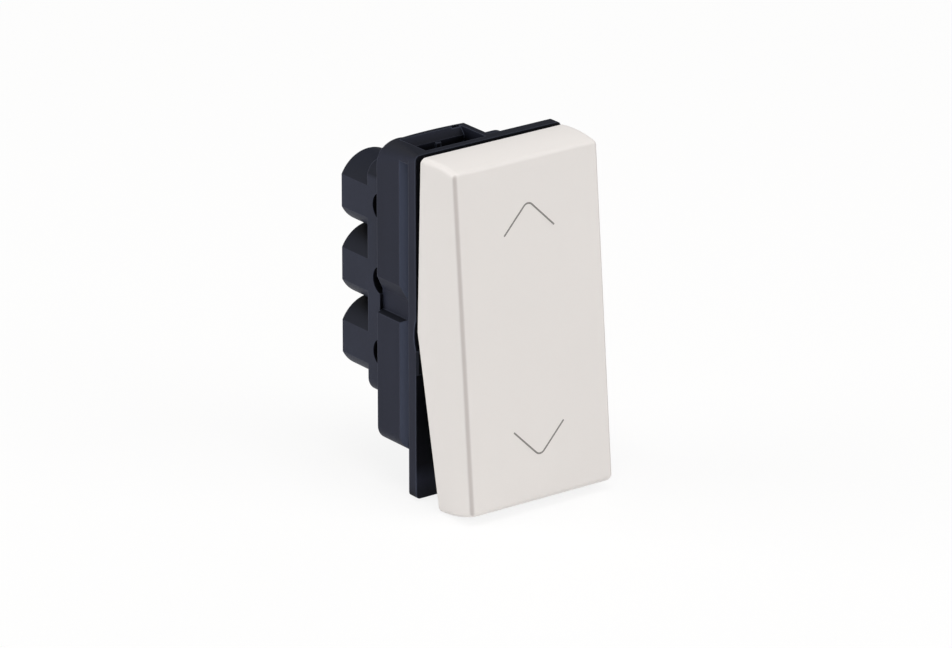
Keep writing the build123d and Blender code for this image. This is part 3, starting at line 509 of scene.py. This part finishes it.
# Each moulding's second colour is the painted highlight on its edges
finishes = {
    "dark_moulding": moulding(
        "finish_housing", DARK, DARK_EDGE_HIGHLIGHT, roughness=0.50, grain=0.45, specular=0.08,
        drift_share=0.13, zones=housing_painted_light_and_shade),
    "base_moulding": moulding(
        "finish_base", BASE, DARK_EDGE_HIGHLIGHT, roughness=0.52, grain=0.45, specular=0.08,
        drift_share=0.13, zones=base_painted_shade),
    "white_cap": moulding(
        "finish_cap", WHITE, WHITE, roughness=0.40, grain=0.08, specular=0.45,
        drift_share=0.006, zones=cap_painted_shade),
    "carrier_moulding": moulding(
        "finish_carrier", (0.050, 0.052, 0.058), (0.07, 0.072, 0.08), roughness=0.48,
        grain=0.30),
    "plunger_moulding": moulding(
        "finish_plunger", (0.62, 0.60, 0.54), (0.66, 0.64, 0.58), roughness=0.34, grain=0.12),
    "spring_steel": metal(
        "finish_spring", (0.58, 0.57, 0.55), (0.30, 0.29, 0.28), roughness=0.30,
        stretch=(1.0, 1.0, 1.0)),
    "copper_sheet": metal(
        "finish_copper", (0.78, 0.40, 0.26), (0.42, 0.20, 0.13), roughness=0.34,
        stretch=(1.0, 1.0, 0.06)),
    "silver_contact": metal(
        "finish_contact", (0.86, 0.85, 0.82), (0.55, 0.52, 0.47), roughness=0.26,
        stretch=(1.0, 1.0, 1.0)),
    "brass_block": metal(
        "finish_brass", (0.74, 0.55, 0.26), (0.44, 0.31, 0.14), roughness=0.32,
        stretch=(1.0, 0.06, 1.0)),
    "plated_screw": metal(
        "finish_screw", (0.70, 0.68, 0.62), (0.45, 0.42, 0.36), roughness=0.28,
        stretch=(0.2, 1.0, 1.0)),
}

for node in frame["nodes"].values():
    for place_in_node in node.material_slots:
        place_in_node.material = finishes[place_in_node.material.name.split(".")[0]]


# Places and pieces
def joint_row(name):
    """The record's row for a joint."""
    return [joint for joint in frame["joints"] if joint["name"] == name][0]


def rocker_at_rest():
    """From the rocker's own level frame about its hinge to its rest place in the model."""
    tilt = joint_row("rocker_tilt")
    turn = -math.radians(sum(tilt["range_deg"])) / 2
    return Matrix.Translation(tilt["pos_m"]) @ Matrix.Rotation(turn, 4, "X")


def add_piece(name, mesh, finish, body):
    """Put a finished mesh into the scene, on a body, with its finish and material slot."""
    piece = bpy.data.objects.new(name, mesh)
    bpy.context.scene.collection.objects.link(piece)
    mesh.materials.clear()
    mesh.materials.append(finish)
    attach(piece, body)
    return piece


# Chevrons
def chevron_line(foot):
    """Centre line of a chevron: two straight arms and a round bend between them."""
    tip = foot + CHEVRON_HALF_SPAN
    centre = tip - CHEVRON_BEND / math.sin(math.radians(CHEVRON_SLOPE_DEGREES))
    start = math.radians(90 + CHEVRON_SLOPE_DEGREES)
    sweep = math.radians(2 * CHEVRON_SLOPE_DEGREES)
    points = [(-CHEVRON_HALF_SPAN, foot)]
    for step in range(CHEVRON_BEND_STEPS + 1):
        angle = start - step / CHEVRON_BEND_STEPS * sweep
        points.append((CHEVRON_BEND * math.cos(angle), centre + CHEVRON_BEND * math.sin(angle)))
    points.append((CHEVRON_HALF_SPAN, foot))
    return [Vector(point) for point in points]


def stroke_outline(line, half):
    """Outline of a line with round ends, as one closed loop."""
    left, right = [], []
    for index, point in enumerate(line):
        before = line[max(index - 1, 0)]
        after = line[min(index + 1, len(line) - 1)]
        along = (after - before).normalized()
        across = Vector((-along.y, along.x)) * half
        left.append(point + across)
        right.append(point - across)
    loop = left + round_end(line[-1], line[-1] - line[-2], half)
    return loop + right[::-1] + round_end(line[0], line[0] - line[1], half)


def round_end(point, direction, half):
    """Points of a half circle round the end of a line, without its two corners."""
    start = math.atan2(direction.y, direction.x) + math.pi / 2
    ends = []
    for step in range(1, CHEVRON_END_STEPS):
        angle = start - step / CHEVRON_END_STEPS * math.pi
        ends.append(point + Vector((math.cos(angle), math.sin(angle))) * half)
    return ends


def chevron_mesh(name, foot, turn):
    """Raised line of ink on the cap's face, turned into the rocker's rest pose."""
    outline = stroke_outline(chevron_line(foot), CHEVRON_WIDTH / 2)
    rim = [(CHEVRON_X + point.x, turn * point.y) for point in outline]
    if turn > 0:
        # the outline runs clockwise there, and faces are listed counter-clockwise
        rim.reverse()
    count = len(rim)
    front = -CAP_FACE_REACH - CHEVRON_PROUD
    back = front + CHEVRON_PROUD + CHEVRON_SUNK
    points = [(x, front, z) for x, z in rim] + [(x, back, z) for x, z in rim]
    faces = [tuple(range(count)), tuple(reversed(range(count, 2 * count)))]
    for corner in range(count):
        after = (corner + 1) % count
        faces.append((after, corner, corner + count, after + count))
    mesh = bpy.data.meshes.new(name)
    mesh.from_pydata(points, [], faces)
    mesh.transform(rocker_at_rest())
    return mesh


marking = marking_finish()
for name, foot, turn in CHEVRONS:
    add_piece(name, chevron_mesh(name, foot, turn), marking, "rocker")


# Rings and coils by rule
def new_tree(name, fields):
    """Geometry node tree with named inputs and one geometry output; returns it and its inputs."""
    tree = bpy.data.node_groups.new(name, "GeometryNodeTree")
    for field, kind in fields:
        tree.interface.new_socket(field, in_out="INPUT", socket_type=kind)
    tree.interface.new_socket("Geometry", in_out="OUTPUT", socket_type="NodeSocketGeometry")
    return tree, tree.nodes.new("NodeGroupInput").outputs


def add_step(tree, kind, settings=None, **inputs):
    """Add a geometry node and return its first output; a name's underscores stand for blanks."""
    node = tree.nodes.new(kind)
    for name, value in (settings or {}).items():
        setattr(node, name, value)
    for name, value in inputs.items():
        socket = node.inputs[name.replace("_", " ")]
        if isinstance(value, bpy.types.NodeSocket):
            tree.links.new(value, socket)
        else:
            socket.default_value = value
    return node.outputs[0]


def close_tree(tree, geometry, finish):
    """Make the instances real, give them their finish and send them out."""
    real = add_step(tree, "GeometryNodeRealizeInstances", Geometry=geometry)
    finished = add_step(tree, "GeometryNodeSetMaterial", Geometry=real, Material=finish)
    tree.links.new(finished, tree.nodes.new("NodeGroupOutput").inputs["Geometry"])
    return tree


def run_tree(tree, name, values):
    """Run a tree once on an empty mesh and keep its result as a plain mesh."""
    carrier = bpy.data.objects.new(name + "_rule", bpy.data.meshes.new(name + "_rule"))
    bpy.context.scene.collection.objects.link(carrier)
    modifier = carrier.modifiers.new("rule", "NODES")
    modifier.node_group = tree
    for socket in tree.interface.items_tree:
        if socket.in_out == "INPUT":
            modifier[socket.identifier] = values[socket.name]
    evaluated = carrier.evaluated_get(bpy.context.evaluated_depsgraph_get())
    mesh = bpy.data.meshes.new_from_object(evaluated)
    mesh.name = name
    bpy.data.objects.remove(carrier, do_unlink=True)
    mesh.shade_smooth()
    return mesh


def ring_row_tree():
    """A straight row of round rings, each turned square to its own axis."""
    tree, given = new_tree("ring_row", (
        ("Count", "NodeSocketInt"), ("Step", "NodeSocketVector"), ("Start", "NodeSocketVector"),
        ("Turn", "NodeSocketVector"), ("Ring Radius", "NodeSocketFloat"),
        ("Ridge Radius", "NodeSocketFloat"), ("Finish", "NodeSocketMaterial")))
    row = add_step(tree, "GeometryNodeMeshLine", {"mode": "OFFSET"}, Count=given["Count"],
                   Start_Location=given["Start"], Offset=given["Step"])
    path = add_step(tree, "GeometryNodeCurvePrimitiveCircle", Resolution=RING_POINTS,
                    Radius=given["Ring Radius"])
    ridge = add_step(tree, "GeometryNodeCurvePrimitiveCircle", Resolution=RING_SIDES,
                     Radius=given["Ridge Radius"])
    ring = add_step(tree, "GeometryNodeCurveToMesh", Curve=path, Profile_Curve=ridge)
    placed = add_step(tree, "GeometryNodeInstanceOnPoints", Points=row, Instance=ring,
                      Rotation=given["Turn"])
    return close_tree(tree, placed, given["Finish"])


def coil_tree():
    """A coil of round wire with capped ends, rising along its own Z axis."""
    tree, given = new_tree("coil", (
        ("Turns", "NodeSocketFloat"), ("Coil Radius", "NodeSocketFloat"),
        ("Height", "NodeSocketFloat"), ("Wire Radius", "NodeSocketFloat"),
        ("Finish", "NodeSocketMaterial")))
    path = add_step(tree, "GeometryNodeCurveSpiral", Resolution=COIL_POINTS,
                    Rotations=given["Turns"], Start_Radius=given["Coil Radius"],
                    End_Radius=given["Coil Radius"], Height=given["Height"])
    wire = add_step(tree, "GeometryNodeCurvePrimitiveCircle", Resolution=RING_SIDES,
                    Radius=given["Wire Radius"])
    coil = add_step(tree, "GeometryNodeCurveToMesh", Curve=path, Profile_Curve=wire,
                    Fill_Caps=True)
    return close_tree(tree, coil, given["Finish"])


ring_row = ring_row_tree()
screw_finish = finishes["plated_screw"]
for level in SCREW_LEVELS:
    low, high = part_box("terminal_screw_" + level)
    start = (low[0] + SCREW_HEAD_HEIGHT + THREAD_START, (low[1] + high[1]) / 2,
             (low[2] + high[2]) / 2)
    threads = {"Count": THREAD_COUNT, "Step": (THREAD_STEP, 0, 0), "Start": start,
               "Turn": (0, QUARTER_TURN, 0), "Ring Radius": THREAD_RADIUS,
               "Ridge Radius": THREAD_RIDGE, "Finish": screw_finish}
    name = "screw_thread_" + level
    add_piece(name, run_tree(ring_row, name, threads), screw_finish, "screw_" + level)

base_finish = finishes["base_moulding"]
marks = {"Count": MARK_COUNT, "Step": (0, 0, MARK_STEP), "Start": (MARK_X, MARK_Y, MARK_LOWEST),
         "Turn": (QUARTER_TURN, 0, 0), "Ring Radius": MARK_RADIUS,
         "Ridge Radius": MARK_RIDGE, "Finish": base_finish}
add_piece("ejector_marks", run_tree(ring_row, "ejector_marks", marks), base_finish, "base")

# The plunger's spring, round wire, which on the real switch shortens as the plunger is pushed in;
# here the coil keeps its shape and rides on the rocker
spring_finish = finishes["spring_steel"]
wound = {"Turns": SPRING_TURNS, "Coil Radius": SPRING_RADIUS, "Height": SPRING_HEIGHT,
         "Wire Radius": SPRING_WIRE, "Finish": spring_finish}
spring_mesh = run_tree(coil_tree(), "plunger_coil", wound)
spring_place = (rocker_at_rest() @ Matrix.Translation((SPRING_X, SPRING_START, 0))
                @ Matrix.Rotation(-QUARTER_TURN, 4, "X"))
spring_mesh.transform(spring_place)
spring = add_piece("plunger_coil", spring_mesh, spring_finish, "rocker")
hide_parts("plunger_spring")
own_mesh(spring)


# Studio
def add_floor():
    """Round pale floor, white to the camera, that keeps a soft shadow."""
    form = bmesh.new()
    bmesh.ops.create_circle(form, cap_ends=True, segments=FLOOR_SIDES, radius=FLOOR_RADIUS)
    mesh = bpy.data.meshes.new("floor")
    form.to_mesh(mesh)
    form.free()
    low = cad_box[0][2] - FLOOR_GAP
    mesh.transform(Matrix.Translation((0, 0, low)))
    floor = bpy.data.objects.new("floor", mesh)
    bpy.context.scene.collection.objects.link(floor)
    finish, shader, place = new_finish("finish_floor")
    tree = finish.node_tree
    tone = place.noise(*FLOOR_NOISE)
    pale = tone.span(*FLOOR_RANGE).blend(FLOOR_COLOUR, FLOOR_PALE)
    plug(tree, shader.inputs["Base Color"], pale)
    shader.inputs["Roughness"].default_value = FLOOR_ROUGHNESS
    shader.inputs["Specular IOR Level"].default_value = FLOOR_SPECULAR
    rays = tree.nodes.new("ShaderNodeLightPath").outputs
    seen = Signal(rays["Is Camera Ray"]) + Signal(rays["Is Transmission Ray"])
    seen = (seen + Signal(rays["Is Glossy Ray"])).clipped()
    glow = tree.nodes.new("ShaderNodeEmission")
    mix = tree.nodes.new("ShaderNodeMixShader")
    plug(tree, mix.inputs[0], FLOOR_GLOW * seen)
    tree.links.new(shader.outputs[0], mix.inputs[1])
    tree.links.new(glow.outputs[0], mix.inputs[2])
    output = [node for node in tree.nodes if node.bl_idname == "ShaderNodeOutputMaterial"][0]
    tree.links.new(mix.outputs[0], output.inputs["Surface"])
    mesh.materials.append(finish)


def add_light(name, azimuth, elevation, distance, size, power):
    """Soft square light, aimed at the object from where a camera at those angles would be."""
    data = bpy.data.lights.new(name, "AREA")
    data.shape = "SQUARE"
    data.size = size
    data.energy = power
    data.color = LIGHT_COLOUR
    light = bpy.data.objects.new(name, data)
    bpy.context.scene.collection.objects.link(light)
    turn, lift = math.radians(azimuth), math.radians(elevation)
    away = Vector((math.sin(turn) * math.cos(lift), -math.cos(turn) * math.cos(lift),
                   math.sin(lift)))
    light.location = away * distance
    light.rotation_euler = away.to_track_quat("Z", "Y").to_euler()


def add_camera():
    """Camera at the photograph's place, angle and width of view."""
    data = bpy.data.cameras.new("camera")
    data.lens = CAMERA_LENS
    data.sensor_width = CAMERA_SENSOR
    data.clip_start = CAMERA_NEAR
    camera = bpy.data.objects.new("camera", data)
    bpy.context.scene.collection.objects.link(camera)
    camera.location = CAMERA_PLACE
    camera.rotation_euler = (CAMERA_AIM - CAMERA_PLACE).to_track_quat("-Z", "Y").to_euler()
    bpy.context.scene.camera = camera


def add_world():
    """Even pale light from all round."""
    world = bpy.data.worlds.new("studio")
    world.use_nodes = True
    background = world.node_tree.nodes["Background"]
    background.inputs["Color"].default_value = WORLD_COLOUR
    background.inputs["Strength"].default_value = WORLD_STRENGTH
    bpy.context.scene.world = world


add_floor()
for light in LIGHTS:
    add_light(*light)
add_camera()
add_world()
bpy.context.scene.view_settings.view_transform = "Standard"
